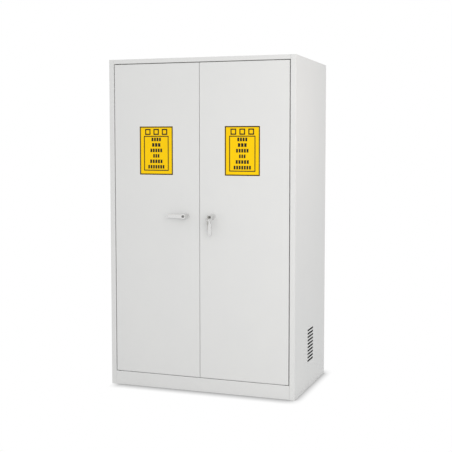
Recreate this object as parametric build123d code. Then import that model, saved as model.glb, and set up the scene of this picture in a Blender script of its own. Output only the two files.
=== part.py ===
from build123d import *
import math
import os

# Two-door chemical storage cabinet in folded sheet steel, in millimetres.
# The origin is on the floor at the middle of the carcass: +X right, +Y to the back, +Z up.

# Carcass
WIDTH = 1160.0
DEPTH = 650.0
HEIGHT = 1950.0
SHEET = 1.2
BEND = 2.0  # fold radius at the middle of the sheet
STILE_FACE = 31.0  # front frame beside the doors
RAIL_FACE = 26.0  # front frame above the doors
PLINTH_FACE = 82.0  # front of the base below the doors
STOP_LIP = 14.0  # lip that stands behind the edges of the closed doors
REAR_FLANGE = 25.0
FOOT_FLANGE = 25.0
FLOOR_LAP = 12.0  # how far the floor's riser laps behind the plinth
MULLION_FACE = 56.0
MULLION_DEPTH = 40.0
BASE_RAIL_WIDTH = 60.0

# Vent slots in the side walls and at the top of the back
VENT_COUNT = 10
VENT_PITCH = 20.5
VENT_LENGTH = 120.0
VENT_HEIGHT = 11.5
VENT_LOWEST = 164.0
VENT_SETBACK = 325.0  # middle of the slots behind the front
BACK_VENT_COUNT = 6
BACK_VENT_DROP = 80.0  # highest slot below the roof
BACK_VENT_OFFSET = 290.0  # middle of the slots from the middle of the cabinet

# Wall fixing
WALL_HOLE_R = 4.5
WALL_HOLE_SPACING = 800.0
WALL_HOLE_DROP = 70.0

# Shelf strips, hooks, shelves and sump trays
UPRIGHT_SHEET = 1.5
UPRIGHT_WIDTH = 26.0
UPRIGHT_DEPTH = 10.0
UPRIGHT_INSET = 60.0  # middle of a strip from the front or rear edge of a shelf
UPRIGHT_END = 20.0  # strip ends from the floor and from the lip under the roof
SLOT_WIDTH = 5.0
SLOT_HEIGHT = 12.0
SLOT_PITCH = 30.0
HOOK_SHEET = 2.0
HOOK_WIDTH = 20.0
HOOK_REACH = 16.0
HOOK_RISE = 10.0  # shelf seat above the middle of the slot
HOOK_DROP = 14.0
HOOK_TOOTH = 4.0
HOOK_PLAY = 0.2
SHELF_SLOTS = {"lower": 14, "middle": 29, "upper": 44}  # strip slots that carry the shelves
SHELF_RIM = 30.0
SHELF_CORNER = 6.0
SHELF_PLAY = 2.0
SHELF_FRONT = 43.0  # front edge behind the door stop
SHELF_REAR = 10.0  # rear edge in front of the back panel
SUMP_HEIGHT = 90.0
SUMP_WALL = 4.0
SUMP_CORNER = 25.0
SUMP_RIM = 8.0
SUMP_PLAY = 3.0

# Doors
SIDE_GAP = 5.5
TOP_GAP = 4.5
BOTTOM_GAP = 3.5
MEETING_GAP = 3.0
DOOR_DEPTH = 22.0
DOOR_RETURN = 16.0  # flange turned in at the back of the door
DOOR_ROUND = 1.0
STOP_CLEARANCE = 8.8  # room behind the closed door for its hinge edge to swing
STIFFENER_WEB = 40.0
STIFFENER_FLANGE = 15.0
STIFFENER_END = 30.0
BUFFER_R = 5.0
BUFFER_GAP = 0.3
BUFFER_INSET = 250.0  # buffers from the lower and upper door edges
NOTICE_WIDTH = 213.0
NOTICE_HEIGHT = 283.0
NOTICE_THICK = 0.3
NOTICE_CORNER = 2.0
NOTICE_LEVEL = 1414.0
NOTICE_SHIFT = {"left": -2.0, "right": -9.0}  # middle of the sheet from the middle of its door

# Door pivots
PIVOT_INSET = 14.0  # axis from the outer edge of the door
PIVOT_SETBACK = 8.0  # axis behind the face of the door
PIN_R = 4.0
PIN_FIT = 0.05
PIN_COLLAR_R = 5.2
PIN_COLLAR = 2.0
BUSH_R = 6.0
BUSH_FLANGE_R = 7.5
BUSH_LENGTH = 14.0
THRUST_GAP = 0.3

# Lever handles
HUB_OFFSET = 82.0  # spindle from the middle of the cabinet
HUB_LEVEL = 1035.0
ROSE_R = 18.0
ROSE_THICK = 7.0
ROSE_ROUND = 3.0
NECK_R = 10.8
ROSE_NUT_R = 16.0
ROSE_NUT_THICK = 5.0
HUB_R = 15.5
HUB_GAP = 0.4
HUB_FACE = 54.0  # front of the hub from the face of the door
HUB_ROUND = 2.0
LEVER_LENGTH = 110.0  # spindle to the tip of the lever
LEVER_ROOT_R = 12.5
LEVER_TIP_R = 10.0
LEVER_THICK = 12.0
LEVER_STANDOFF = 38.0  # finger room between the lever and the door
LEVER_ROUND = 4.0
LEVER_EYE_R = 2.5  # hole near the tip, for a seal
SPINDLE = 8.0
SPINDLE_SEAT = 14.0  # how deep the spindle sits in the hub
SPINDLE_END = 2.0
BORE_R = 6.4

# Lock: pinion, rods, tongue and case
MODULE = 1.5
TEETH = 16
PRESSURE_ANGLE = math.radians(20.0)
BACKLASH = 0.2
DEDENDUM = 1.25  # in modules
RACK_ADDENDUM = 0.8  # in modules
PINION_WIDTH = 8.0
PINION_GAP = 0.8
ROD_WIDTH = 7.0
ROD_DEPTH = 6.0
ROD_CLEARANCE = 0.8
ROD_TIP = 1.0  # rod end inside the edge of the door when it is drawn in
SPARE_TEETH = 2
CASE_SHEET = 1.5
CASE_HEIGHT = 84.0
CASE_FLANGE = 12.0
CASE_SIDE_GAP = 3.0
CASE_BACK_GAP = 3.0
STUD_R = 2.0
STUD_NUT_R = 4.6
STUD_NUT_THICK = 3.2
STUD_INSET = 12.0
STUD_END = 1.0
GUIDE_WALL = 4.0
GUIDE_HEIGHT = 14.0
GUIDE_INSET = 45.0  # outer guides from the edge of the door
GUIDE_REACH = 150.0  # inner guides from the spindle
TONGUE_THICK = 3.0
TONGUE_HALF = 8.0
TONGUE_BITE = 16.0
TONGUE_GAP = 4.0
TONGUE_CLEARANCE = 2.0

# Lock plugs and keys
PLUG_R = 8.0
PLUG_FIT = 0.05
PLUG_LENGTH = 28.0
PLUG_PROUD = 1.0
PLUG_RECESS = 2.0  # sunk ring round the plug
PLUG_RECESS_DEPTH = 1.5
KEY_THICK = 2.2
KEY_PLAY = 0.2
KEY_BLADE = 7.0
KEY_BLADE_LENGTH = 23.0
KEY_CUTS = (1.0, 2.0, 1.4, 2.4, 1.2)  # depths of the notches, from the tip
KEY_CUT_PITCH = 3.6
KEY_CUT_START = 2.7  # first notch from the tip
KEY_SHOULDER = 10.0
KEY_NECK = 4.0
KEY_BOW_R = 12.5
KEY_HOLE_R = 3.5
KEY_HOLE_OFFSET = 6.0
KEY_SEAT = 0.3
RING_R = 11.0
RING_WIRE_R = 0.9

SIDES = {"left": -1, "right": 1}
LEVER_ARM = {"left": (-1, 0, 0), "right": (0, 0, -1)}
TONGUE_ARM = {"left": (0, 0, -1), "right": (0, 0, 1)}

# Planes that the pieces share
FOLD_IN = BEND - SHEET / 2
WALL_IN = WIDTH / 2 - SHEET
STILE_IN = WIDTH / 2 - STILE_FACE
LIP_IN = STILE_IN - STOP_LIP
FRONT = -DEPTH / 2
BACK = DEPTH / 2
BACK_IN = BACK - 2 * SHEET
REBATE = DOOR_DEPTH + STOP_CLEARANCE + SHEET
STOP = FRONT + REBATE
ROOF_IN = HEIGHT - SHEET
RAIL_UNDER = HEIGHT - RAIL_FACE
LIP_UNDER = RAIL_UNDER - STOP_LIP
FLOOR = PLINTH_FACE + STOP_LIP
DOOR_TOP = RAIL_UNDER - TOP_GAP
DOOR_BOTTOM = PLINTH_FACE + BOTTOM_GAP
DOOR_OUTER = STILE_IN - SIDE_GAP
DOOR_INNER = MEETING_GAP / 2
DOOR_MIDDLE = (DOOR_OUTER + DOOR_INNER) / 2
PIVOT_X = DOOR_OUTER - PIVOT_INSET
PIVOT_Y = FRONT + PIVOT_SETBACK
SHELF_Y = (STOP + SHELF_FRONT, BACK_IN - SHELF_REAR)
UPRIGHT_Y = (SHELF_Y[0] + UPRIGHT_INSET, SHELF_Y[1] - UPRIGHT_INSET)
UPRIGHT_Z = (FLOOR + UPRIGHT_END, LIP_UNDER - UPRIGHT_END)

# Lock stack, as depths behind the face of the door
NUT_BACK = SHEET + ROSE_NUT_THICK
PINION_FRONT = NUT_BACK + PINION_GAP
PINION_BACK = PINION_FRONT + PINION_WIDTH
CASE_IN = PINION_BACK + CASE_BACK_GAP
ROD_FRONT = (PINION_FRONT + PINION_BACK - ROD_DEPTH) / 2
ROD_BACK = ROD_FRONT + ROD_DEPTH
TONGUE_FRONT = REBATE + TONGUE_GAP
TONGUE_BACK = TONGUE_FRONT + TONGUE_THICK
PITCH_R = MODULE * TEETH / 2
TOOTH_PITCH = math.pi * MODULE
ROD_TRAVEL = PITCH_R * math.pi / 2
ROD_IN = PITCH_R + DEDENDUM * MODULE
ROD_OUT = ROD_IN + ROD_WIDTH
CASE_HALF = ROD_OUT + CASE_SIDE_GAP
WALL_FROM_SPINDLE = HUB_OFFSET - MULLION_FACE / 2
TONGUE_REACH = WALL_FROM_SPINDLE + TONGUE_BITE
KEY_HOLE_OUT = KEY_NECK + KEY_BOW_R + KEY_HOLE_OFFSET
KEY_FACE = HUB_FACE + PLUG_PROUD + KEY_SEAT


def block(xs, ys, zs):
    """Box between three pairs of coordinates, each in either order."""
    sizes = [abs(high - low) for low, high in (xs, ys, zs)]
    middles = [(low + high) / 2 for low, high in (xs, ys, zs)]
    return Pos(*middles) * Box(*sizes)


def upright_disc(x, y, radius, low, high):
    """Cylinder that stands along Z."""
    return Pos(x, y, (low + high) / 2) * Cylinder(radius, high - low)


def disc(radius, low, high):
    """Cylinder about the Z axis of a hub frame."""
    return Pos(0, 0, (low + high) / 2) * Cylinder(radius, high - low)


def sheet_profile(points, thickness=SHEET):
    """Cross-section of a sheet that is folded along a line of points."""
    return trace(FilletPolyline(*points, radius=BEND), thickness)


def fold_upright(points, low, high, thickness=SHEET):
    """Folded sheet whose bends stand upright; the points are X and Y."""
    return Pos(0, 0, low) * extrude(sheet_profile(points, thickness), high - low, dir=(0, 0, 1))


def fold_across(points, low, high):
    """Folded sheet whose bends run along X; the points are Y and Z."""
    profile = Plane.YZ.offset(low) * sheet_profile(points)
    return extrude(profile, high - low, dir=(1, 0, 0))


def fold_deep(points, low, high):
    """Folded sheet whose bends run along Y; the points are X and Z."""
    profile = Pos(0, low, 0) * (Plane.XZ * sheet_profile(points))
    return extrude(profile, high - low, dir=(0, 1, 0))


def group(solids):
    """Separate solids that share one name."""
    return Compound(children=list(solids))


def hub_frame(side, arm=(1, 0, 0)):
    """Frame on the face of a door at its spindle: Z points out of the door, X along the arm."""
    return Plane(origin=(SIDES[side] * HUB_OFFSET, FRONT, HUB_LEVEL), x_dir=arm, z_dir=(0, -1, 0))


def rod_ways(side, grow):
    """Section of the upper and lower rod of a door in X and Y, grown all round."""
    middle = SIDES[side] * HUB_OFFSET
    ys = (FRONT + ROD_FRONT - grow, FRONT + ROD_BACK + grow)
    upper = (middle + ROD_IN - grow, middle + ROD_OUT + grow)
    lower = (middle - ROD_OUT - grow, middle - ROD_IN + grow)
    return {"upper": (upper, ys), "lower": (lower, ys)}


# Carcass


def vent_slots(count, lowest):
    """Column of horizontal slots in the XY plane, to be cut through a wall."""
    slots = Sketch()
    for index in range(count):
        slots += Pos(0, lowest + index * VENT_PITCH) * SlotOverall(VENT_LENGTH, VENT_HEIGHT)
    return slots


def right_wall():
    """Side wall folded round the front into the stile, the door rebate and its stop lip."""
    outer = WIDTH / 2 - SHEET / 2
    inner = STILE_IN + SHEET / 2
    points = [
        (WIDTH / 2 - REAR_FLANGE, BACK - SHEET / 2),
        (outer, BACK - SHEET / 2),
        (outer, FRONT + SHEET / 2),
        (inner, FRONT + SHEET / 2),
        (inner, STOP - SHEET / 2),
        (LIP_IN, STOP - SHEET / 2),
    ]
    wall = fold_upright(points, 0, HEIGHT)
    wall += block((WALL_IN - FOOT_FLANGE, outer), (STOP, BACK_IN), (0, SHEET))
    wall -= block((0, WALL_IN), (FRONT + SHEET, BACK), (ROOF_IN, HEIGHT))
    slots = Pos(WIDTH / 2 - FOOT_FLANGE, FRONT + VENT_SETBACK, 0) * (
        Plane.YZ * vent_slots(VENT_COUNT, VENT_LOWEST))
    return wall - extrude(slots, 2 * FOOT_FLANGE, dir=(1, 0, 0))


def side_panels():
    wall = right_wall()
    return {"right_side_panel": wall, "left_side_panel": mirror(wall, about=Plane.YZ)}


def roof_panel():
    """Roof sheet, folded down into the top rail, back under it and down into the stop lip."""
    rail = [
        (BACK, HEIGHT - SHEET / 2),
        (FRONT + SHEET / 2, HEIGHT - SHEET / 2),
        (FRONT + SHEET / 2, RAIL_UNDER + SHEET / 2),
    ]
    short_rail = rail + [(STOP - SHEET - FOLD_IN, RAIL_UNDER + SHEET / 2)]
    lipped_rail = rail + [(STOP - SHEET / 2, RAIL_UNDER + SHEET / 2), (STOP - SHEET / 2, LIP_UNDER)]
    roof = fold_across(lipped_rail, -LIP_IN, LIP_IN)
    for low, high in ((-STILE_IN, -LIP_IN), (LIP_IN, STILE_IN)):
        roof += fold_across(short_rail, low, high)
    for low, high in ((-WALL_IN, -STILE_IN), (STILE_IN, WALL_IN)):
        roof += block((low, high), (FRONT + SHEET, BACK), (ROOF_IN, HEIGHT))
    under = (RAIL_UNDER - SHEET, RAIL_UNDER + 2 * SHEET)
    for side, sign in SIDES.items():
        roof -= block(*rod_ways(side, ROD_CLEARANCE)["upper"], under)
        roof -= upright_disc(sign * PIVOT_X, PIVOT_Y, PIN_R, *under)
    return roof


def front_plinth():
    """Folded front of the base, with a foot on the ground and a ledge under the doors."""
    front = [
        (FRONT + FOOT_FLANGE, SHEET / 2),
        (FRONT + SHEET / 2, SHEET / 2),
        (FRONT + SHEET / 2, PLINTH_FACE - SHEET / 2),
    ]
    short_ledge = front + [(STOP - SHEET - FOLD_IN, PLINTH_FACE - SHEET / 2)]
    full_ledge = front + [(STOP - SHEET, PLINTH_FACE - SHEET / 2)]
    plinth = fold_across(full_ledge, -LIP_IN, LIP_IN)
    for low, high in ((-STILE_IN, -LIP_IN), (LIP_IN, STILE_IN)):
        plinth += fold_across(short_ledge, low, high)
    ledge = (PLINTH_FACE - 2 * SHEET, PLINTH_FACE + SHEET)
    for side, sign in SIDES.items():
        plinth -= block(*rod_ways(side, ROD_CLEARANCE)["lower"], ledge)
        plinth -= upright_disc(sign * PIVOT_X, PIVOT_Y, PIN_R, *ledge)
    return plinth


def floor_panel():
    """Floor sheet with a riser at the front that stops the doors and laps behind the plinth.

    A tab at each front corner closes the hollow stile, so that spills stay above the floor."""
    level = FLOOR - SHEET / 2
    points = [(BACK_IN, level), (STOP - SHEET / 2, level), (STOP - SHEET / 2, PLINTH_FACE - FLOOR_LAP)]
    floor = fold_across(points, -LIP_IN, LIP_IN)
    zs = (FLOOR - SHEET, FLOOR)
    for sign in SIDES.values():
        floor += block((sign * LIP_IN, sign * WALL_IN), (STOP, BACK_IN), zs)
        floor += block((sign * (STILE_IN + SHEET), sign * WALL_IN), (FRONT + SHEET + FOLD_IN, STOP), zs)
    return floor


def back_panel():
    """Back sheet with two wall-fixing holes and two columns of vent slots near the top."""
    half = WALL_IN - FOLD_IN
    panel = block((-half, half), (BACK_IN, BACK_IN + SHEET), (0, ROOF_IN))
    lowest = HEIGHT - BACK_VENT_DROP - (BACK_VENT_COUNT - 1) * VENT_PITCH
    slots = Plane.XZ * vent_slots(BACK_VENT_COUNT, lowest)
    through = extrude(Pos(0, BACK_IN - SHEET, 0) * slots, 3 * SHEET, dir=(0, 1, 0))
    hole = Pos(0, BACK_IN, HEIGHT - WALL_HOLE_DROP) * (Rot(90, 0, 0) * Cylinder(WALL_HOLE_R, 4 * SHEET))
    for sign in SIDES.values():
        panel -= Pos(sign * BACK_VENT_OFFSET, 0, 0) * through
        panel -= Pos(sign * WALL_HOLE_SPACING / 2, 0, 0) * hole
    return panel


def centre_base_rail():
    """Channel under the floor that stands on the ground along the middle of the base."""
    half = BASE_RAIL_WIDTH / 2 - SHEET / 2
    top = FLOOR - SHEET
    points = [(-half, top), (-half, SHEET / 2), (half, SHEET / 2), (half, top)]
    return fold_deep(points, STOP + FOLD_IN, BACK_IN)


def centre_mullion():
    """Channel behind the meeting edges of the doors, with a slot in each wall for a latch tongue."""
    half = MULLION_FACE / 2 - SHEET / 2
    rear = STOP + MULLION_DEPTH
    points = [(-half, rear), (-half, STOP - SHEET / 2), (half, STOP - SHEET / 2), (half, rear)]
    mullion = fold_upright(points, FLOOR, LIP_UNDER)
    tip_rise = math.sqrt(TONGUE_REACH**2 - WALL_FROM_SPINDLE**2)
    swing = tip_rise + TONGUE_HALF + TONGUE_CLEARANCE
    rest = TONGUE_HALF + TONGUE_CLEARANCE
    ys = (FRONT + TONGUE_FRONT - TONGUE_CLEARANCE, FRONT + TONGUE_BACK + TONGUE_CLEARANCE)
    for side, sign in SIDES.items():
        xs = (sign * (MULLION_FACE / 2 - 2 * SHEET), sign * (MULLION_FACE / 2 + SHEET))
        turn = TONGUE_ARM[side][2]
        mullion -= block(xs, ys, (HUB_LEVEL + turn * swing, HUB_LEVEL - turn * rest))
    return mullion


def partition_panel():
    """Sheet that divides the inside into two compartments."""
    return block((-SHEET / 2, SHEET / 2), (STOP, BACK_IN), (FLOOR, ROOF_IN))


def slotted_strip():
    """Shelf strip on a wall at X = 0, facing +X, with a row of hook slots."""
    half = UPRIGHT_WIDTH / 2 - UPRIGHT_SHEET / 2
    face = UPRIGHT_DEPTH - UPRIGHT_SHEET / 2
    points = [(0, -half), (face, -half), (face, half), (0, half)]
    strip = fold_upright(points, *UPRIGHT_Z, UPRIGHT_SHEET)
    count = int((UPRIGHT_Z[1] - UPRIGHT_Z[0]) / SLOT_PITCH)
    slots = Sketch()
    for index in range(count):
        slots += Pos(0, slot_level(index)) * Rectangle(SLOT_WIDTH, SLOT_HEIGHT)
    through = extrude(Pos(UPRIGHT_DEPTH / 2, 0, 0) * (Plane.YZ * slots), UPRIGHT_DEPTH, dir=(1, 0, 0))
    return strip - through


def slot_level(index):
    """Middle of a hook slot above the floor, counted from the lowest."""
    return UPRIGHT_Z[0] + SLOT_PITCH * (index + 0.5)


def shelf_hook():
    """Clip whose tooth hooks into the slot at Z = 0 of a strip on a wall at X = 0."""
    face = UPRIGHT_DEPTH
    half = HOOK_WIDTH / 2
    hook = block((face, face + HOOK_SHEET), (-half, half), (-HOOK_DROP, HOOK_RISE))
    hook += block((face, face + HOOK_REACH), (-half, half), (HOOK_RISE - HOOK_SHEET, HOOK_RISE))
    tooth_y = SLOT_WIDTH / 2 - HOOK_PLAY
    tooth_z = SLOT_HEIGHT / 2 - HOOK_PLAY
    return hook + block((face - HOOK_TOOTH, face), (-tooth_y, tooth_y), (-tooth_z, tooth_z))


def strip_places(side):
    """Places of the four shelf strips of a compartment, as positions that also turn the strip."""
    sign = SIDES[side]
    places = []
    for y in UPRIGHT_Y:
        places.append(Pos(sign * WALL_IN, y, 0) * Rot(0, 0, 90 + 90 * sign))
        places.append(Pos(sign * SHEET / 2, y, 0) * Rot(0, 0, 90 - 90 * sign))
    return places


def uprights(side, strip):
    return group(place * strip for place in strip_places(side))


def shelf_hooks(side, hook):
    levels = [slot_level(index) for index in SHELF_SLOTS.values()]
    return group(place * (Pos(0, 0, z) * hook) for place in strip_places(side) for z in levels)


def pan(xs, ys, low, height, wall, corner):
    """Open tray with upright walls and rounded corners."""
    wide, deep = abs(xs[1] - xs[0]), abs(ys[1] - ys[0])
    outer = extrude(RectangleRounded(wide, deep, corner), height)
    inside = extrude(RectangleRounded(wide - 2 * wall, deep - 2 * wall, corner - wall), height)
    tray = outer - Pos(0, 0, wall) * inside
    return Pos(sum(xs) / 2, sum(ys) / 2, low) * tray


def shelf(side, level):
    """Spill-tray shelf that stands on its four hooks."""
    sign = SIDES[side]
    near = sign * (SHEET / 2 + UPRIGHT_DEPTH + SHELF_PLAY)
    far = sign * (WALL_IN - UPRIGHT_DEPTH - SHELF_PLAY)
    seat = slot_level(SHELF_SLOTS[level]) + HOOK_RISE
    return pan((near, far), SHELF_Y, seat, SHELF_RIM, SHEET, SHELF_CORNER)


def sump_tray(side):
    """Plastic spill tub on the floor, narrow enough to come out past the door frame."""
    sign = SIDES[side]
    near = MULLION_FACE / 2 + SUMP_PLAY
    far = LIP_IN - SUMP_PLAY
    xs = (sign * (near + SUMP_RIM), sign * (far - SUMP_RIM))
    ys = (SHELF_Y[0] + SUMP_RIM, SHELF_Y[1] - SUMP_RIM)
    tub = pan(xs, ys, FLOOR, SUMP_HEIGHT, SUMP_WALL, SUMP_CORNER)
    wide, deep = far - near, SHELF_Y[1] - SHELF_Y[0]
    rim = extrude(RectangleRounded(wide, deep, SUMP_CORNER + SUMP_RIM), SUMP_WALL)
    rim -= extrude(
        RectangleRounded(wide - 2 * SUMP_RIM - SUMP_WALL, deep - 2 * SUMP_RIM - SUMP_WALL, SUMP_CORNER),
        SUMP_WALL)
    return tub + Pos(sum(xs) / 2, sum(ys) / 2, FLOOR + SUMP_HEIGHT - SUMP_WALL) * rim


def pivot_pins(side):
    """Upper and lower hinge pins, each with a collar inside the frame."""
    x = SIDES[side] * PIVOT_X
    upper = upright_disc(x, PIVOT_Y, PIN_R, DOOR_TOP - BUSH_LENGTH, RAIL_UNDER + SHEET)
    upper += upright_disc(x, PIVOT_Y, PIN_COLLAR_R, RAIL_UNDER + SHEET, RAIL_UNDER + SHEET + PIN_COLLAR)
    ledge = PLINTH_FACE - SHEET
    lower = upright_disc(x, PIVOT_Y, PIN_R, ledge, DOOR_BOTTOM + BUSH_LENGTH)
    lower += upright_disc(x, PIVOT_Y, PIN_COLLAR_R, ledge - PIN_COLLAR, ledge)
    return group([upper, lower])


def door_buffers():
    """Rubber buffers on the mullion, just behind the flanges of the closed doors."""
    near = FRONT + DOOR_DEPTH + BUFFER_GAP
    far = STOP - SHEET
    buffer = Rot(90, 0, 0) * Cylinder(BUFFER_R, far - near)
    buffer = fillet(buffer.edges().group_by(Axis.Y)[0], BUFFER_R / 5)
    x = DOOR_INNER + DOOR_RETURN / 2
    levels = (DOOR_BOTTOM + BUFFER_INSET, DOOR_TOP - BUFFER_INSET)
    return group(Pos(sign * x, (near + far) / 2, z) * buffer for sign in SIDES.values() for z in levels)


# Doors


def door_skin(side):
    """Folded door pan with a flange turned in round its open back."""
    sign = SIDES[side]
    xs = (sign * DOOR_INNER, sign * DOOR_OUTER)
    ys = (FRONT, FRONT + DOOR_DEPTH)
    zs = (DOOR_BOTTOM, DOOR_TOP)
    skin = block(xs, ys, zs)
    skin = fillet(skin.faces().sort_by(Axis.Y)[0].edges(), DOOR_ROUND)
    skin -= block(
        (sign * (DOOR_INNER + SHEET), sign * (DOOR_OUTER - SHEET)),
        (FRONT + SHEET, FRONT + DOOR_DEPTH - SHEET),
        (DOOR_BOTTOM + SHEET, DOOR_TOP - SHEET))
    skin -= block(
        (sign * (DOOR_INNER + DOOR_RETURN), sign * (DOOR_OUTER - DOOR_RETURN)),
        (FRONT + DOOR_DEPTH - 2 * SHEET, FRONT + DOOR_DEPTH + SHEET),
        (DOOR_BOTTOM + DOOR_RETURN, DOOR_TOP - DOOR_RETURN))
    edges = {"upper": (DOOR_TOP - 2 * SHEET, DOOR_TOP + SHEET),
             "lower": (DOOR_BOTTOM - SHEET, DOOR_BOTTOM + 2 * SHEET)}
    ways = rod_ways(side, ROD_CLEARANCE)
    for end, edge in edges.items():
        skin -= block(*ways[end], edge)
        skin -= upright_disc(sign * PIVOT_X, PIVOT_Y, BUSH_R, *edge)
    return skin - hub_frame(side) * disc(NECK_R, -2 * SHEET, SHEET)


def door_stiffener(side):
    """Hat channel along the middle of the door, flanges on the skin."""
    x = SIDES[side] * DOOR_MIDDLE
    half = STIFFENER_WEB / 2
    near = FRONT + 1.5 * SHEET
    far = FRONT + DOOR_DEPTH - 1.5 * SHEET
    points = [
        (x - half - STIFFENER_FLANGE, near),
        (x - half, near),
        (x - half, far),
        (x + half, far),
        (x + half, near),
        (x + half + STIFFENER_FLANGE, near),
    ]
    return fold_upright(points, DOOR_BOTTOM + STIFFENER_END, DOOR_TOP - STIFFENER_END)


def pivot_bushes(side):
    """Upper and lower bushes that turn on the hinge pins; the lower one carries the door."""
    x = SIDES[side] * PIVOT_X
    upper = upright_disc(x, PIVOT_Y, BUSH_R, DOOR_TOP - BUSH_LENGTH, DOOR_TOP)
    upper += upright_disc(x, PIVOT_Y, BUSH_FLANGE_R, DOOR_TOP, RAIL_UNDER - THRUST_GAP)
    lower = upright_disc(x, PIVOT_Y, BUSH_R, DOOR_BOTTOM, DOOR_BOTTOM + BUSH_LENGTH)
    lower += upright_disc(x, PIVOT_Y, BUSH_FLANGE_R, PLINTH_FACE + THRUST_GAP, DOOR_BOTTOM)
    bore = upright_disc(x, PIVOT_Y, PIN_R + PIN_FIT, 0, HEIGHT)
    return group([upper - bore, lower - bore])


def handle_rose(side):
    """Round rose on the face of the door, with a hollow neck through the skin."""
    rose = disc(ROSE_R, 0, ROSE_THICK)
    rose = fillet(rose.edges().group_by(Axis.Z)[-1], ROSE_ROUND)
    rose += disc(NECK_R, -NUT_BACK, 0)
    return hub_frame(side) * (rose - disc(BORE_R, -NUT_BACK, ROSE_THICK))


def rose_nut(side):
    """Hexagon nut that holds the rose from behind the skin."""
    nut = extrude(RegularPolygon(ROSE_NUT_R, 6), ROSE_NUT_THICK)
    nut = Pos(0, 0, -NUT_BACK) * nut
    return hub_frame(side) * (nut - disc(NECK_R, -NUT_BACK, 0))


def stud_places():
    """Fixing studs of the lock case, as X and Y in the hub frame."""
    x = CASE_HALF + CASE_SHEET + CASE_FLANGE / 2
    y = CASE_HEIGHT / 2 - STUD_INSET
    return [(i * x, j * y) for i in (-1, 1) for j in (-1, 1)]


def lock_case(side):
    """Bridge over the pinion and the rods, open above and below for the rods to pass."""
    half = CASE_HALF + CASE_SHEET / 2
    near = FRONT + SHEET + CASE_SHEET / 2
    far = FRONT + CASE_IN + CASE_SHEET / 2
    x = SIDES[side] * HUB_OFFSET
    points = [
        (x - half - CASE_FLANGE, near),
        (x - half, near),
        (x - half, far),
        (x + half, far),
        (x + half, near),
        (x + half + CASE_FLANGE, near),
    ]
    case = fold_upright(points, HUB_LEVEL - CASE_HEIGHT / 2, HUB_LEVEL + CASE_HEIGHT / 2, CASE_SHEET)
    holes = disc(BORE_R, -CASE_IN - 2 * CASE_SHEET, -CASE_IN + CASE_SHEET)
    for place in stud_places():
        holes += Pos(*place) * disc(STUD_R, -SHEET - 2 * CASE_SHEET, 0)
    return case - hub_frame(side) * holes


def lock_nuts(side):
    """Four nuts on studs that stand on the back of the skin."""
    seat = -SHEET - CASE_SHEET
    stud = disc(STUD_R, seat - STUD_NUT_THICK - STUD_END, -SHEET)
    nut = Pos(0, 0, seat - STUD_NUT_THICK) * extrude(RegularPolygon(STUD_NUT_R, 6), STUD_NUT_THICK)
    fixing = stud + nut
    return group(hub_frame(side) * (Pos(*place) * fixing) for place in stud_places())


def rod_guides(side):
    """Plastic blocks on the back of the skin that guide each rod at two heights."""
    ways = rod_ways(side, ROD_CLEARANCE / 2)
    levels = {"upper": (HUB_LEVEL + GUIDE_REACH, DOOR_TOP - GUIDE_INSET),
              "lower": (HUB_LEVEL - GUIDE_REACH, DOOR_BOTTOM + GUIDE_INSET)}
    blocks = []
    for end, (xs, ys) in ways.items():
        for z in levels[end]:
            zs = (z - GUIDE_HEIGHT / 2, z + GUIDE_HEIGHT / 2)
            guide = block((xs[0] - GUIDE_WALL, xs[1] + GUIDE_WALL), (FRONT + SHEET, ys[1] + GUIDE_WALL), zs)
            blocks.append(guide - block(xs, ys, zs))
    return group(blocks)


def notice_sheet(side):
    """Plain sheet stuck on the face of the door."""
    x = SIDES[side] * DOOR_MIDDLE + NOTICE_SHIFT[side]
    outline = RectangleRounded(NOTICE_WIDTH, NOTICE_HEIGHT, NOTICE_CORNER)
    place = Plane(origin=(x, FRONT, NOTICE_LEVEL), x_dir=(1, 0, 0), z_dir=(0, -1, 0))
    return place * extrude(outline, NOTICE_THICK)


# Handles and locks


def square_bar(low, high):
    """Spindle, or the hole for it, about the Z axis of a hub frame."""
    half = SPINDLE / 2
    return block((-half, half), (-half, half), (low, high))


def lever(side):
    """Lever with an eye near its tip and a hub that is bored for the plug and squared for the spindle."""
    low = ROSE_THICK + HUB_GAP
    hub = disc(HUB_R, low, HUB_FACE)
    hub = fillet(hub.edges().group_by(Axis.Z)[-1], HUB_ROUND)
    tip = Pos(LEVER_LENGTH - LEVER_TIP_R, 0) * Circle(LEVER_TIP_R)
    arm = extrude(make_hull(Circle(LEVER_ROOT_R).edges() + tip.edges()), LEVER_THICK)
    rims = arm.edges().group_by(Axis.Z)
    arm = Pos(0, 0, LEVER_STANDOFF) * fillet(rims[0] + rims[-1], LEVER_ROUND)
    handle = hub + arm
    handle -= disc(PLUG_R + PLUG_FIT, HUB_FACE - PLUG_LENGTH - KEY_SEAT, HUB_FACE)
    handle -= disc(PLUG_R + PLUG_RECESS, HUB_FACE - PLUG_RECESS_DEPTH, HUB_FACE)
    eye = disc(LEVER_EYE_R, LEVER_STANDOFF, LEVER_STANDOFF + LEVER_THICK)
    handle -= Pos(LEVER_LENGTH - LEVER_TIP_R, 0, 0) * eye
    handle -= square_bar(low, low + SPINDLE_SEAT)
    return hub_frame(side, LEVER_ARM[side]) * handle


def spindle(side):
    """Square bar from the hub through the pinion to the latch tongue."""
    return hub_frame(side) * square_bar(-TONGUE_BACK - SPINDLE_END, ROSE_THICK + HUB_GAP + SPINDLE_SEAT)


def involute(angle):
    return math.tan(angle) - angle


def tooth_half_angle(radius):
    """Half the angle that a pinion tooth spans at a radius."""
    base = PITCH_R * math.cos(PRESSURE_ANGLE)
    at_pitch = (TOOTH_PITCH / 2 - BACKLASH) / (2 * PITCH_R)
    return at_pitch + involute(PRESSURE_ANGLE) - involute(math.acos(min(1.0, base / radius)))


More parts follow.
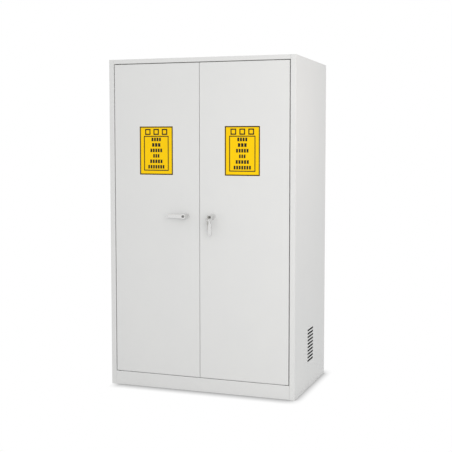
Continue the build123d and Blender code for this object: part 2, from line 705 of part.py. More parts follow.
def drive_pinion(side):
    """Spur pinion with involute teeth, one of them along +X."""
    base = PITCH_R * math.cos(PRESSURE_ANGLE)
    outer = PITCH_R + MODULE
    root = PITCH_R - DEDENDUM * MODULE
    flank = [root, base, (base + outer) / 2, outer]
    points = []
    for index in range(TEETH):
        middle = 2 * math.pi * index / TEETH
        rising = [(radius, middle - tooth_half_angle(radius)) for radius in flank]
        falling = [(radius, middle + tooth_half_angle(radius)) for radius in reversed(flank)]
        points += [(radius * math.cos(a), radius * math.sin(a)) for radius, a in rising + falling]
    wheel = Pos(0, 0, -PINION_BACK) * extrude(make_face(Polyline(*points, close=True)), PINION_WIDTH)
    return hub_frame(side) * (wheel - square_bar(-PINION_BACK, -PINION_FRONT))


def latch_tongue(side):
    """Flat tongue on the end of the spindle that turns into the mullion."""
    tip = Pos(TONGUE_REACH - TONGUE_HALF, 0) * Circle(TONGUE_HALF)
    plate = extrude(make_hull(Circle(TONGUE_HALF).edges() + tip.edges()), TONGUE_THICK)
    plate = Pos(0, 0, -TONGUE_BACK) * plate
    return hub_frame(side, TONGUE_ARM[side]) * (plate - square_bar(-TONGUE_BACK, -TONGUE_FRONT))


def lock_rod(side, end):
    """Rod with a rack that the pinion drives; the lower rod is the upper one turned half round."""
    length = {"upper": DOOR_TOP - HUB_LEVEL, "lower": HUB_LEVEL - DOOR_BOTTOM}[end] - ROD_TIP
    slope = math.tan(PRESSURE_ANGLE)
    half = TOOTH_PITCH / 4 - BACKLASH / 2
    tip = RACK_ADDENDUM * MODULE
    root_half = half + DEDENDUM * MODULE * slope
    tip_half = half - tip * slope
    below = math.ceil(ROD_TRAVEL / TOOTH_PITCH) + SPARE_TEETH
    low = -(below + 0.5) * TOOTH_PITCH
    points = [(ROD_OUT, low), (ROD_OUT, length), (ROD_IN, length)]
    for index in reversed(range(-below, SPARE_TEETH)):
        z = (index + 0.5) * TOOTH_PITCH
        points += [(ROD_IN, z + root_half), (PITCH_R - tip, z + tip_half)]
        points += [(PITCH_R - tip, z - tip_half), (ROD_IN, z - root_half)]
    points.append((ROD_IN, low))
    bar = Pos(0, 0, -ROD_BACK) * extrude(make_face(Polyline(*points, close=True)), ROD_DEPTH)
    turn = {"upper": 0, "lower": 180}[end]
    return hub_frame(side) * (Rot(0, 0, turn) * bar)


def lock_plug(side):
    """Turning core of the lock, with an open keyway."""
    face = HUB_FACE + PLUG_PROUD
    plug = disc(PLUG_R, HUB_FACE - PLUG_LENGTH, face)
    across = KEY_THICK / 2 + KEY_PLAY
    tall = KEY_BLADE / 2 + KEY_PLAY
    keyway = block((-across, across), (-tall, tall), (face - KEY_BLADE_LENGTH - KEY_PLAY, face))
    return hub_frame(side) * (plug - keyway)


def key_blank():
    """Flat key in the YZ plane, blade down and notched along one edge, its shoulder at Z = 0."""
    flat = Pos(0, KEY_NECK + KEY_BOW_R) * Circle(KEY_BOW_R)
    flat += Pos(0, (KEY_NECK + KEY_BOW_R) / 2) * Rectangle(KEY_SHOULDER, KEY_NECK + KEY_BOW_R)
    flat += Pos(0, -KEY_BLADE_LENGTH / 2) * Rectangle(KEY_BLADE, KEY_BLADE_LENGTH)
    flat -= Pos(0, KEY_HOLE_OUT) * Circle(KEY_HOLE_R)
    for index, depth in enumerate(KEY_CUTS):
        notch = Rot(0, 0, 45) * Rectangle(depth * math.sqrt(2), depth * math.sqrt(2))
        reach = KEY_BLADE_LENGTH - KEY_CUT_START - index * KEY_CUT_PITCH
        flat -= Pos(KEY_BLADE / 2, -reach) * notch
    return extrude(Plane.YZ * flat, KEY_THICK / 2, both=True)


def key_set(side):
    """Key in the lock, a ring through its bow and a spare key hanging from the ring."""
    blank = key_blank()
    x = SIDES[side] * HUB_OFFSET
    y = FRONT - KEY_FACE - KEY_HOLE_OUT
    ring_top = HUB_LEVEL - KEY_HOLE_R + RING_WIRE_R + KEY_SEAT
    ring_foot = ring_top - 2 * RING_R
    spare_hole = ring_foot + RING_WIRE_R + KEY_SEAT - KEY_HOLE_R
    ring = Pos(x, y, ring_top - RING_R) * (Rot(90, 0, 0) * Torus(RING_R, RING_WIRE_R))
    return {
        "key": hub_frame(side) * (Pos(0, 0, KEY_FACE) * blank),
        "key_ring": ring,
        "spare_key": Pos(x, y, spare_hole - KEY_HOLE_OUT) * blank,
    }


def carcass():
    strip = slotted_strip()
    hook = shelf_hook()
    nodes = side_panels()
    nodes["roof_panel"] = roof_panel()
    nodes["front_plinth"] = front_plinth()
    nodes["floor_panel"] = floor_panel()
    nodes["back_panel"] = back_panel()
    nodes["centre_base_rail"] = centre_base_rail()
    nodes["centre_mullion"] = centre_mullion()
    nodes["partition_panel"] = partition_panel()
    nodes["door_buffers"] = door_buffers()
    for side in SIDES:
        nodes[f"{side}_uprights"] = uprights(side, strip)
        nodes[f"{side}_shelf_hooks"] = shelf_hooks(side, hook)
        nodes[f"{side}_sump_tray"] = sump_tray(side)
        nodes[f"{side}_pivot_pins"] = pivot_pins(side)
        for level in SHELF_SLOTS:
            nodes[f"{side}_{level}_shelf"] = shelf(side, level)
    return nodes


def doors():
    makers = [door_skin, door_stiffener, pivot_bushes, handle_rose, rose_nut, lock_case, lock_nuts]
    makers += [rod_guides, notice_sheet]
    return {f"{side}_{make.__name__}": make(side) for side in SIDES for make in makers}


def locks():
    makers = [lever, spindle, drive_pinion, latch_tongue, lock_plug]
    nodes = {f"{side}_{make.__name__}": make(side) for side in SIDES for make in makers}
    for side in SIDES:
        for end in ("upper", "lower"):
            nodes[f"{side}_{end}_rod"] = lock_rod(side, end)
    return nodes | key_set("right")


os.makedirs("parts", exist_ok=True)
for name, shape in (carcass() | doors() | locks()).items():
    export_step(shape, f"parts/{name}.step")
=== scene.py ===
import math

import bmesh
import bpy
from mathutils import Matrix, Vector


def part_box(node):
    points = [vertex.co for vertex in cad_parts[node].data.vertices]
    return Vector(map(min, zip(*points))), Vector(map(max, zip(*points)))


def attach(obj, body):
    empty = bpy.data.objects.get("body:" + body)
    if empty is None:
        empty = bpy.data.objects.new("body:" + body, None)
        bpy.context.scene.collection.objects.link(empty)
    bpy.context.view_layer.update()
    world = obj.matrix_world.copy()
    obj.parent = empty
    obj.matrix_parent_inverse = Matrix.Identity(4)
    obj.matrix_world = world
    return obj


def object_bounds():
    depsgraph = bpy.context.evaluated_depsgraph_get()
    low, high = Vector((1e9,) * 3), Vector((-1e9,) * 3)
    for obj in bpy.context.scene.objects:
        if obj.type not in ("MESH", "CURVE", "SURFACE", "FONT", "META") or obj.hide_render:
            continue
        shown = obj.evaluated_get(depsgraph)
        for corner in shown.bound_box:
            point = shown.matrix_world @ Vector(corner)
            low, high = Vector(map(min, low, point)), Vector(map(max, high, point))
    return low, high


# Two-door chemical storage cabinet in powder-coated sheet steel, in metres.
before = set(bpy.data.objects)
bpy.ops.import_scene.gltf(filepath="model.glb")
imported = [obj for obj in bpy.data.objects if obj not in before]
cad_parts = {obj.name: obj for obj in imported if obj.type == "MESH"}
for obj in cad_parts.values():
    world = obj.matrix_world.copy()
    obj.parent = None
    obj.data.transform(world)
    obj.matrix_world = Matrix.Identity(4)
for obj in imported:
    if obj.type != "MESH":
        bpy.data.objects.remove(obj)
cad_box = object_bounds()


# Carcass: side walls, roof, plinth, floor, back and the channels that join them.
# Each is cut and folded from 1.2 mm steel sheet and spot-welded to its neighbours.
# The whole shell is then sprayed with light grey powder and baked.

MM = 0.001


def linear(hex_colour):
    """sRGB hex colour as the linear RGBA that a shader takes."""
    shares = [int(hex_colour[start:start + 2], 16) / 255 for start in (1, 3, 5)]
    return [s / 12.92 if s <= 0.04045 else ((s + 0.055) / 1.055) ** 2.4 for s in shares] + [1.0]


def add_node(tree, kind, settings, links):
    """Adds a node. Settings are its own options or the values of its inputs, and links feed its inputs."""
    node = tree.nodes.new(kind)
    for name, value in settings.items():
        if isinstance(name, str) and hasattr(node, name):
            setattr(node, name, value)
        else:
            node.inputs[name].default_value = value
    for name, source in links.items():
        tree.links.new(source, node.inputs[name])
    return node


def start_material(name, settings):
    """Material with a Principled shader, and the object coordinates that its patterns read."""
    material = bpy.data.materials.new(name)
    material.use_nodes = True
    tree = material.node_tree
    shader = tree.nodes["Principled BSDF"]
    for socket, value in settings.items():
        shader.inputs[socket].default_value = value
    place = add_node(tree, "ShaderNodeTexCoord", {}, {}).outputs["Object"]
    return material, tree, shader, place


def finish_nodes(names, material):
    """Gives CAD nodes their finish."""
    for name in names:
        for material_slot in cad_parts[name].material_slots:
            material_slot.material = material


def powder_coat(name, pale, deep):
    """Polyester powder baked on steel: an even satin skin with a fine orange peel.

    The thin sheet under it is never quite flat, so broad soft waves bend its sheen."""
    cloud_size, peel_size, wave_size = 220 * MM, 2.5 * MM, 380 * MM
    material, tree, shader, place = start_material(name, {"IOR": 1.5})
    cloud = add_node(
        tree, "ShaderNodeTexNoise", {"Scale": 1 / cloud_size, "Detail": 3.0}, {"Vector": place})
    tone = add_node(
        tree, "ShaderNodeMix", {"data_type": "RGBA", 6: linear(deep), 7: linear(pale)},
        {0: cloud.outputs[0]})
    gloss = add_node(
        tree, "ShaderNodeMapRange", {"To Min": 0.38, "To Max": 0.46}, {"Value": cloud.outputs[0]})
    wave = add_node(tree, "ShaderNodeTexNoise", {"Scale": 1 / wave_size, "Detail": 0.0}, {"Vector": place})
    bend = add_node(
        tree, "ShaderNodeBump", {"Strength": 0.5, "Distance": 1.2 * MM}, {"Height": wave.outputs[0]})
    peel = add_node(tree, "ShaderNodeTexNoise", {"Scale": 1 / peel_size, "Detail": 1.0}, {"Vector": place})
    skin = add_node(
        tree, "ShaderNodeBump", {"Strength": 0.35, "Distance": 0.05 * MM},
        {"Height": peel.outputs[0], "Normal": bend.outputs[0]})
    tree.links.new(tone.outputs[2], shader.inputs["Base Color"])
    tree.links.new(gloss.outputs[0], shader.inputs["Roughness"])
    tree.links.new(skin.outputs[0], shader.inputs["Normal"])
    return material


CARCASS = [
    "left_side_panel", "right_side_panel", "roof_panel", "front_plinth", "floor_panel", "back_panel",
    "centre_base_rail", "centre_mullion", "partition_panel",
]
finish_nodes(CARCASS, powder_coat("light_grey_powder_coat", "#DEDEDD", "#D9D9D9"))


# Shelf strips and hooks, hinge pins and every part of the lock behind the door.
# Pressed or turned steel, zinc-plated in a barrel or on a rack after forming.
# The strips are riveted to the walls, and the hooks hang in their slots.

SIDES = ("left", "right")


def zinc_plate():
    """Bright zinc on rolled steel: bluish silver, cloudy, with faint rolling lines along its length."""
    cloud_size, line_width, line_length = 14 * MM, 0.6 * MM, 40 * MM
    material, tree, shader, place = start_material("bright_zinc_plate", {"Metallic": 1.0})
    cloud = add_node(
        tree, "ShaderNodeTexNoise", {"Scale": 1 / cloud_size, "Detail": 3.0}, {"Vector": place})
    tone = add_node(
        tree, "ShaderNodeMix", {"data_type": "RGBA", 6: linear("#A9AFB6"), 7: linear("#CBD0D4")},
        {0: cloud.outputs[0]})
    gloss = add_node(
        tree, "ShaderNodeMapRange", {"To Min": 0.26, "To Max": 0.44}, {"Value": cloud.outputs[0]})
    stretch = add_node(
        tree, "ShaderNodeMapping", {"Scale": (1 / line_width, 1 / line_width, 1 / line_length)},
        {"Vector": place})
    lines = add_node(
        tree, "ShaderNodeTexNoise", {"Scale": 1.0, "Detail": 1.0}, {"Vector": stretch.outputs[0]})
    rolled = add_node(
        tree, "ShaderNodeBump", {"Strength": 0.3, "Distance": 0.02 * MM}, {"Height": lines.outputs[0]})
    tree.links.new(tone.outputs[2], shader.inputs["Base Color"])
    tree.links.new(gloss.outputs[0], shader.inputs["Roughness"])
    tree.links.new(rolled.outputs[0], shader.inputs["Normal"])
    return material


ZINC_PARTS = [
    "uprights", "shelf_hooks", "pivot_pins", "rose_nut", "lock_case", "lock_nuts", "spindle",
    "drive_pinion", "latch_tongue", "upper_rod", "lower_rod",
]
finish_nodes([f"{side}_{part}" for side in SIDES for part in ZINC_PARTS], zinc_plate())


# Spill-tray shelves: six shallow steel pans with folded and welded corners.
# They have the same powder coat as the shell and stand loose on their hooks.

SHELF_LEVELS = ("lower", "middle", "upper")
finish_nodes(
    [f"{side}_{level}_shelf" for side in SIDES for level in SHELF_LEVELS],
    powder_coat("shelf_powder_coat", "#DBDBDA", "#D6D6D6"))


# Sump trays: two tubs that catch spills, vacuum-formed from grey polypropylene sheet.
# They stand loose on the floor and lift out past the door frame.


def polypropylene():
    """Vacuum-formed polypropylene: a waxy satin grey with a fine leathery grain from the mould."""
    grain_size, cloud_size = 1.6 * MM, 60 * MM
    material, tree, shader, place = start_material("grey_polypropylene", {"IOR": 1.49})
    cloud = add_node(
        tree, "ShaderNodeTexNoise", {"Scale": 1 / cloud_size, "Detail": 2.0}, {"Vector": place})
    tone = add_node(
        tree, "ShaderNodeMix", {"data_type": "RGBA", 6: linear("#A3A8AB"), 7: linear("#B0B5B8")},
        {0: cloud.outputs[0]})
    grain = add_node(tree, "ShaderNodeTexVoronoi", {"Scale": 1 / grain_size}, {"Vector": place})
    leather = add_node(
        tree, "ShaderNodeBump", {"Strength": 0.4, "Distance": 0.08 * MM},
        {"Height": grain.outputs["Distance"]})
    gloss = add_node(
        tree, "ShaderNodeMapRange", {"To Min": 0.42, "To Max": 0.55}, {"Value": cloud.outputs[0]})
    tree.links.new(tone.outputs[2], shader.inputs["Base Color"])
    tree.links.new(gloss.outputs[0], shader.inputs["Roughness"])
    tree.links.new(leather.outputs[0], shader.inputs["Normal"])
    return material


finish_nodes([f"{side}_sump_tray" for side in SIDES], polypropylene())


# Door buffers, pivot bushes and rod guides: the quiet parts that the steel slides on or lands on.
# The buffers are moulded rubber pressed into the mullion; bushes and guides are moulded black nylon.


def black_moulding(name, pale, deep, roughness, grain_size):
    """Moulded black polymer: nearly even black with a fine matt grain."""
    material, tree, shader, place = start_material(name, {"IOR": 1.52})
    grain = add_node(
        tree, "ShaderNodeTexNoise", {"Scale": 1 / grain_size, "Detail": 2.0}, {"Vector": place})
    tone = add_node(
        tree, "ShaderNodeMix", {"data_type": "RGBA", 6: linear(deep), 7: linear(pale)},
        {0: grain.outputs[0]})
    gloss = add_node(
        tree, "ShaderNodeMapRange", {"To Min": roughness - 0.06, "To Max": roughness + 0.06},
        {"Value": grain.outputs[0]})
    matt = add_node(
        tree, "ShaderNodeBump", {"Strength": 0.3, "Distance": 0.05 * MM}, {"Height": grain.outputs[0]})
    tree.links.new(tone.outputs[2], shader.inputs["Base Color"])
    tree.links.new(gloss.outputs[0], shader.inputs["Roughness"])
    tree.links.new(matt.outputs[0], shader.inputs["Normal"])
    return material


finish_nodes(["door_buffers"], black_moulding("black_rubber", "#2B2B2B", "#1F1F20", 0.82, 0.8 * MM))
finish_nodes(
    [f"{side}_{part}" for side in SIDES for part in ("pivot_bushes", "rod_guides")],
    black_moulding("black_nylon", "#2A2B2D", "#202123", 0.5, 0.5 * MM))


# Doors: two folded pans with a hat-shaped stiffener welded inside each.
# They are coated in the same light grey as the shell, but hung after baking.

finish_nodes(
    [f"{side}_{part}" for side in SIDES for part in ("door_skin", "door_stiffener")],
    powder_coat("door_powder_coat", "#DEDEDD", "#DADADA"))


# Roses and lever handles: zinc die castings, polished and chrome-plated.
# The rose is held through the door by a nut, and the lever turns on it with the square spindle.


def polished_chrome():
    """Polished chrome plate: a cool mirror with a faint haze where hands touch it."""
    haze_size = 9 * MM
    material, tree, shader, place = start_material(
        "polished_chrome", {"Metallic": 1.0, "Base Color": linear("#DCDCDB")})
    haze = add_node(
        tree, "ShaderNodeTexNoise", {"Scale": 1 / haze_size, "Detail": 4.0}, {"Vector": place})
    gloss = add_node(
        tree, "ShaderNodeMapRange", {"To Min": 0.05, "To Max": 0.2}, {"Value": haze.outputs[0]})
    tree.links.new(gloss.outputs[0], shader.inputs["Roughness"])
    return material


finish_nodes([f"{side}_{part}" for side in SIDES for part in ("handle_rose", "lever")], polished_chrome())


# Lock plugs: the turning cores of the two locks, each in the hub of its lever.
# Turned from brass bar, broached for the key and nickel-plated, so the faces keep their lathe rings.


def turned_nickel_and_painted_shade(side):
    """Nickel on turned brass with fine rings round the axis of the plug, in a warm grey darker than nickel
    that paints in the shade of the keyway and of the gap round the plug.
    """
    ring_pitch = 0.5 * MM
    low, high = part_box(f"{side}_lock_plug")
    # The dark grey base colour is partly the nickel and partly painted shade of the keyway and of the gap
    # round the plug.
    material, tree, shader, place = start_material(
        f"{side}_turned_nickel_and_painted_shade", {"Metallic": 1.0, "Base Color": linear("#8E8D8B")})
    centred = add_node(
        tree, "ShaderNodeMapping", {"Location": -(low + high) / 2}, {"Vector": place})
    rings = add_node(
        tree, "ShaderNodeTexWave",
        {
            "wave_type": "RINGS", "rings_direction": "Y", "Scale": math.pi / (10 * ring_pitch),
            "Distortion": 0.4,
        },
        {"Vector": centred.outputs[0]})
    gloss = add_node(
        tree, "ShaderNodeMapRange", {"To Min": 0.16, "To Max": 0.32}, {"Value": rings.outputs[1]})
    turned = add_node(
        tree, "ShaderNodeBump", {"Strength": 0.25, "Distance": 0.02 * MM}, {"Height": rings.outputs[1]})
    tree.links.new(gloss.outputs[0], shader.inputs["Roughness"])
    tree.links.new(turned.outputs[0], shader.inputs["Normal"])
    return material


for side in SIDES:
    finish_nodes([f"{side}_lock_plug"], turned_nickel_and_painted_shade(side))


# Keys and their ring: one key in the right lock and a spare one that hangs from it.
# The keys are stamped from steel strip and nickel-plated, and the ring is bent from spring wire.


def key_nickel():
    """Nickel on stamped steel: a grey silver, brushed in fine short lines and dulled by handling."""
    line_width, line_length, dull_size = 0.25 * MM, 6 * MM, 5 * MM
    material, tree, shader, place = start_material("nickel_plated_steel", {"Metallic": 1.0})
    dull = add_node(tree, "ShaderNodeTexNoise", {"Scale": 1 / dull_size, "Detail": 3.0}, {"Vector": place})
    tone = add_node(
        tree, "ShaderNodeMix", {"data_type": "RGBA", 6: linear("#B9B8B4"), 7: linear("#D6D5D2")},
        {0: dull.outputs[0]})
    gloss = add_node(
        tree, "ShaderNodeMapRange", {"To Min": 0.2, "To Max": 0.4}, {"Value": dull.outputs[0]})
    stretch = add_node(
        tree, "ShaderNodeMapping", {"Scale": (1 / line_width, 1 / line_length, 1 / line_width)},
        {"Vector": place})
    lines = add_node(
        tree, "ShaderNodeTexNoise", {"Scale": 1.0, "Detail": 1.0}, {"Vector": stretch.outputs[0]})
    brushed = add_node(
        tree, "ShaderNodeBump", {"Strength": 0.2, "Distance": 0.01 * MM}, {"Height": lines.outputs[0]})
    tree.links.new(tone.outputs[2], shader.inputs["Base Color"])
    tree.links.new(gloss.outputs[0], shader.inputs["Roughness"])
    tree.links.new(brushed.outputs[0], shader.inputs["Normal"])
    return material


finish_nodes(["key", "key_ring", "spare_key"], key_nickel())


# Notice sheets: one self-adhesive vinyl sheet on each door, printed yellow all over.
# A film of black ink on it makes a border, a frame, three tick boxes and rows of blank bars.

INK = 0.06 * MM
BORDER_INSET, BORDER_LINE = 0.5 * MM, 6.5 * MM
PANEL_SIDE, PANEL_ABOVE, PANEL_BELOW, PANEL_LINE = 27 * MM, 55 * MM, 24 * MM, 5.5 * MM
BOX_SIZE, BOX_LINE, BOX_PITCH, BOX_DROP = 35 * MM, 7 * MM, 54 * MM, 32 * MM
ROW_LENGTHS = [60 * MM, 53 * MM, 75 * MM, 39 * MM, 79 * MM, 104 * MM]
ROW_DROP, ROW_PITCH = 76 * MM, 32 * MM
BAR_HEIGHT, BAR_LENGTH, BAR_GAP, BAR_ROUND = 21 * MM, 12 * MM, 4.5 * MM, 1.5 * MM


def yellow_vinyl():
    """Calendered vinyl under screen ink: strong yellow, smooth, with a soft sheen and a slight ripple."""
    cloud_size, ripple_size = 45 * MM, 60 * MM
    material, tree, shader, place = start_material(
        "yellow_vinyl", {"IOR": 1.5, "Specular IOR Level": 0.15})
    cloud = add_node(
        tree, "ShaderNodeTexNoise", {"Scale": 1 / cloud_size, "Detail": 3.0}, {"Vector": place})
    tone = add_node(
        tree, "ShaderNodeMix", {"data_type": "RGBA", 6: linear("#F6C700"), 7: linear("#FCCF00")},
        {0: cloud.outputs[0]})
    gloss = add_node(
        tree, "ShaderNodeMapRange", {"To Min": 0.34, "To Max": 0.44}, {"Value": cloud.outputs[0]})
    ripple = add_node(
        tree, "ShaderNodeTexNoise", {"Scale": 1 / ripple_size, "Detail": 0.0}, {"Vector": place})
    skin = add_node(
        tree, "ShaderNodeBump", {"Strength": 0.3, "Distance": 0.4 * MM}, {"Height": ripple.outputs[0]})
    tree.links.new(tone.outputs[2], shader.inputs["Base Color"])
    tree.links.new(gloss.outputs[0], shader.inputs["Roughness"])
    tree.links.new(skin.outputs[0], shader.inputs["Normal"])
    return material


def screen_ink():
    """Screen-printed ink: a dense, slightly uneven black with a low sheen."""
    mesh_size = 1.2 * MM
    material, tree, shader, place = start_material(
        "black_screen_ink", {"IOR": 1.5, "Specular IOR Level": 0.2})
    mesh = add_node(tree, "ShaderNodeTexNoise", {"Scale": 1 / mesh_size, "Detail": 2.0}, {"Vector": place})
    tone = add_node(
        tree, "ShaderNodeMix", {"data_type": "RGBA", 6: linear("#191713"), 7: linear("#26231C")},
        {0: mesh.outputs[0]})
    gloss = add_node(
        tree, "ShaderNodeMapRange", {"To Min": 0.4, "To Max": 0.55}, {"Value": mesh.outputs[0]})
    tree.links.new(tone.outputs[2], shader.inputs["Base Color"])
    tree.links.new(gloss.outputs[0], shader.inputs["Roughness"])
    return material


def ink_patch(print_mesh, x, z, wide, tall):
    """Flat face of ink in the XZ plane, looking out of the door; its height comes later."""
    made = bmesh.ops.create_grid(print_mesh, x_segments=1, y_segments=1, size=0.5)["verts"]
    bmesh.ops.scale(print_mesh, vec=(wide, tall, 1), verts=made)
    bmesh.ops.rotate(print_mesh, matrix=Matrix.Rotation(math.radians(90), 3, "X"), verts=made)
    bmesh.ops.translate(print_mesh, vec=(x, 0, z), verts=made)
    return made[0].link_faces[0]


def ink_frame(print_mesh, x, z, wide, tall, line):
    """Rectangle outline of ink."""
    face = ink_patch(print_mesh, x, z, wide, tall)
    bmesh.ops.inset_region(
        print_mesh, faces=[face], thickness=line, use_even_offset=True, use_boundary=True)
    bmesh.ops.delete(print_mesh, geom=[face], context="FACES")


def ink_row(print_mesh, x, z, length):
    """Row of blank bars with rounded corners, centred on x."""
    count = round((length + BAR_GAP) / (BAR_LENGTH + BAR_GAP))
    wide = (length - (count - 1) * BAR_GAP) / count
    for index in range(count):
        middle = x - length / 2 + wide / 2 + index * (wide + BAR_GAP)
        face = ink_patch(print_mesh, middle, z, wide, BAR_HEIGHT)
        bmesh.ops.bevel(
            print_mesh, geom=list(face.verts), offset=BAR_ROUND, segments=4, profile=0.5, material=-1,
            affect="VERTICES")


def notice_print(side):
    """All the ink of one notice, as one raised film on the vinyl."""
    low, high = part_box(f"{side}_notice_sheet")
    middle = (low.x + high.x) / 2
    wide, tall = high.x - low.x, high.z - low.z
    film = bmesh.new()
    ink_frame(
        film, middle, (low.z + high.z) / 2, wide - 2 * BORDER_INSET, tall - 2 * BORDER_INSET, BORDER_LINE)
    panel_tall = tall - PANEL_ABOVE - PANEL_BELOW
    ink_frame(
        film, middle, low.z + PANEL_BELOW + panel_tall / 2, wide - 2 * PANEL_SIDE, panel_tall, PANEL_LINE)
    for step in (-1, 0, 1):
        ink_frame(film, middle + step * BOX_PITCH, high.z - BOX_DROP, BOX_SIZE, BOX_SIZE, BOX_LINE)
    for index, length in enumerate(ROW_LENGTHS):
        ink_row(film, middle, high.z - ROW_DROP - index * ROW_PITCH, length)
    raised = bmesh.ops.extrude_face_region(film, geom=film.faces[:])["geom"]
    tops = [item for item in raised if isinstance(item, bmesh.types.BMVert)]
    bmesh.ops.translate(film, vec=(0, -INK, 0), verts=tops)
    bmesh.ops.translate(film, vec=(0, low.y, 0), verts=film.verts[:])
    bmesh.ops.recalc_face_normals(film, faces=film.faces[:])
    mesh = bpy.data.meshes.new(f"{side}_notice_print")
    film.to_mesh(mesh)
    film.free()
    piece = bpy.data.objects.new(f"{side}_notice_print", mesh)
    bpy.context.scene.collection.objects.link(piece)
    return piece


finish_nodes([f"{side}_notice_sheet" for side in SIDES], yellow_vinyl())
ink_finish = screen_ink()
for side in SIDES:
    ink_piece = notice_print(side)
    ink_piece.data.materials.append(ink_finish)
    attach(ink_piece, f"{side}_door")


# Floor: a plain white studio floor, not part of the cabinet.
# The camera sees it as a white glow, with a painted contact shadow close to the cabinet, taken from
# ambient occlusion.
# All other light bounces off a pale matt face.

FLOOR_HALF = 15.0
FLOOR_DROP = 0.2 * MM
SHADOW_REACH, SHADOW_FADE, SHADOW_CURVE = 90 * MM, 55 * MM, 1.2


def seen_directly(tree):
    """1 for camera rays and for what mirrors and glass show, 0 for light that falls on the cabinet."""
    path = add_node(tree, "ShaderNodeLightPath", {}, {})
    mirror = add_node(
        tree, "ShaderNodeMath", {"operation": "MAXIMUM"},
        {0: path.outputs["Is Camera Ray"], 1: path.outputs["Is Glossy Ray"]})
    glass = add_node(
        tree, "ShaderNodeMath", {"operation": "MAXIMUM"},
        {0: mirror.outputs[0], 1: path.outputs["Is Transmission Ray"]})
    return glass.outputs[0]


def studio_floor():
    """Matt white paint, seen by the camera as a white glow with a painted soft contact shadow, faded out
    at both ends of the base.
    """
    material = bpy.data.materials.new("studio_floor")
    material.use_nodes = True
    tree = material.node_tree
    tree.nodes.clear()
    place = add_node(tree, "ShaderNodeTexCoord", {}, {}).outputs["Object"]
    # Painted shadow: ambient occlusion darkens the glow near the cabinet, and a mask along x fades it out
    # past both ends of the base.
    across = add_node(tree, "ShaderNodeSeparateXYZ", {}, {"Vector": place})
    left_end, right_end = cad_box[0][0], cad_box[1][0]
    left_fade = add_node(
        tree, "ShaderNodeMapRange", {"From Min": left_end, "From Max": left_end + SHADOW_FADE},
        {"Value": across.outputs["X"]})
    right_fade = add_node(
        tree, "ShaderNodeMapRange", {"From Min": right_end + SHADOW_FADE, "From Max": right_end},
        {"Value": across.outputs["X"]})
    fade = add_node(
        tree, "ShaderNodeMath", {"operation": "MULTIPLY"},
        {0: left_fade.outputs[0], 1: right_fade.outputs[0]})
    near = add_node(tree, "ShaderNodeAmbientOcclusion", {"samples": 16, "Distance": SHADOW_REACH}, {})
    depth = add_node(
        tree, "ShaderNodeMath", {"operation": "POWER", 1: SHADOW_CURVE}, {0: near.outputs["AO"]})
    shadow = add_node(
        tree, "ShaderNodeMix", {2: 1.0}, {0: fade.outputs[0], 3: depth.outputs[0]})
    shown = add_node(tree, "ShaderNodeEmission", {"Strength": 1.0}, {"Color": shadow.outputs[0]})
    matt = add_node(tree, "ShaderNodeBsdfDiffuse", {"Color": linear("#D8D8D8")}, {})
    seen = seen_directly(tree)
    mixed = add_node(tree, "ShaderNodeMixShader", {}, {0: seen, 1: matt.outputs[0], 2: shown.outputs[0]})
    add_node(tree, "ShaderNodeOutputMaterial", {}, {"Surface": mixed.outputs[0]})
    return material


ground = bmesh.new()
bmesh.ops.create_grid(ground, x_segments=1, y_segments=1, size=FLOOR_HALF)
bmesh.ops.translate(ground, vec=(0, 0, -FLOOR_DROP), verts=ground.verts[:])
floor_mesh = bpy.data.meshes.new("studio_floor")
ground.to_mesh(floor_mesh)
ground.free()
floor = bpy.data.objects.new("studio_floor", floor_mesh)
floor.data.materials.append(studio_floor())
bpy.context.scene.collection.objects.link(floor)


# Light: an even white tent all round, and two soft lamps.
# The front lamp makes the doors brighter to the right.
# The side lamp makes the right wall brighter near its upper front edge.

TENT_LEVEL = 0.89
LAMPS = {
    "front_lamp": {
        "place": (2.0, -3.5, 1.7), "aim": (0.2, -0.3, 1.0), "size": 2.6, "power": 50.0,
        "colour": "#FFFDFA"},
    "side_lamp": {
        "place": (1.35, -0.39, 1.7), "aim": (0.58, -0.33, 1.6), "size": 0.6, "power": 1.0,
        "colour": "#FFEDE2"},
}

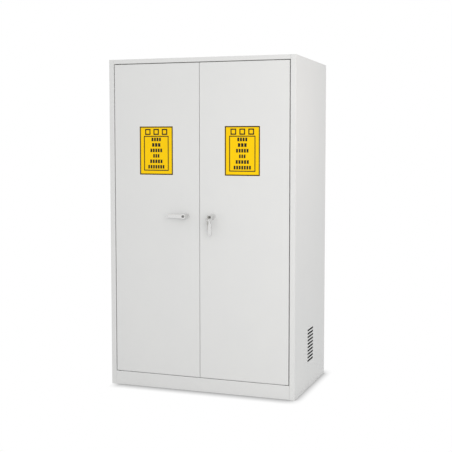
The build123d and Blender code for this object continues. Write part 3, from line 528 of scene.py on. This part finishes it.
world = bpy.data.worlds.new("studio_tent")
bpy.context.scene.world = world
world.use_nodes = True
world.node_tree.nodes.clear()
tent = add_node(
    world.node_tree, "ShaderNodeBackground", {"Color": linear("#F9FAFA"), "Strength": TENT_LEVEL}, {})
backdrop = add_node(
    world.node_tree, "ShaderNodeBackground", {"Color": linear("#FFFFFF"), "Strength": 1.0}, {})
surround = add_node(
    world.node_tree, "ShaderNodeMixShader", {},
    {0: seen_directly(world.node_tree), 1: tent.outputs[0], 2: backdrop.outputs[0]})
add_node(world.node_tree, "ShaderNodeOutputWorld", {}, {"Surface": surround.outputs[0]})

for lamp_name, lamp in LAMPS.items():
    light = bpy.data.lights.new(lamp_name, "AREA")
    light.size = lamp["size"]
    light.energy = lamp["power"]
    light.color = linear(lamp["colour"])[:3]
    lamp_object = bpy.data.objects.new(lamp_name, light)
    lamp_object.location = lamp["place"]
    beam = Vector(lamp["aim"]) - Vector(lamp["place"])
    lamp_object.rotation_euler = beam.to_track_quat("-Z", "Y").to_euler()
    lamp_object.visible_camera = False
    lamp_object.visible_glossy = False
    bpy.context.scene.collection.objects.link(lamp_object)


# Camera: at the photograph's viewing angle, to the right and at about three quarters of the height.
# Its focal length and centre are in pixels of the 452 by 452 picture.

PICTURE = 452
FOCAL_PIXELS = 851.7
CENTRE_PIXEL = (285, 210)
CAMERA_PLACE = (1.961, -4.873, 1.410)
HEADING, TILT, ROLL = math.radians(17.585), math.radians(90 - 3.904), math.radians(0.242)

view_camera = bpy.data.cameras.new("front_right_camera")
view_camera.lens = view_camera.sensor_width * FOCAL_PIXELS / PICTURE
view_camera.shift_x = (PICTURE / 2 - CENTRE_PIXEL[0]) / PICTURE
view_camera.shift_y = (CENTRE_PIXEL[1] - PICTURE / 2) / PICTURE
camera_object = bpy.data.objects.new("front_right_camera", view_camera)
turns = [Matrix.Rotation(HEADING, 3, "Z"), Matrix.Rotation(TILT, 3, "X"), Matrix.Rotation(ROLL, 3, "Z")]
camera_object.location = CAMERA_PLACE
camera_object.rotation_euler = (turns[0] @ turns[1] @ turns[2]).to_euler()
bpy.context.scene.collection.objects.link(camera_object)
bpy.context.scene.camera = camera_object
bpy.context.scene.view_settings.view_transform = "Standard"
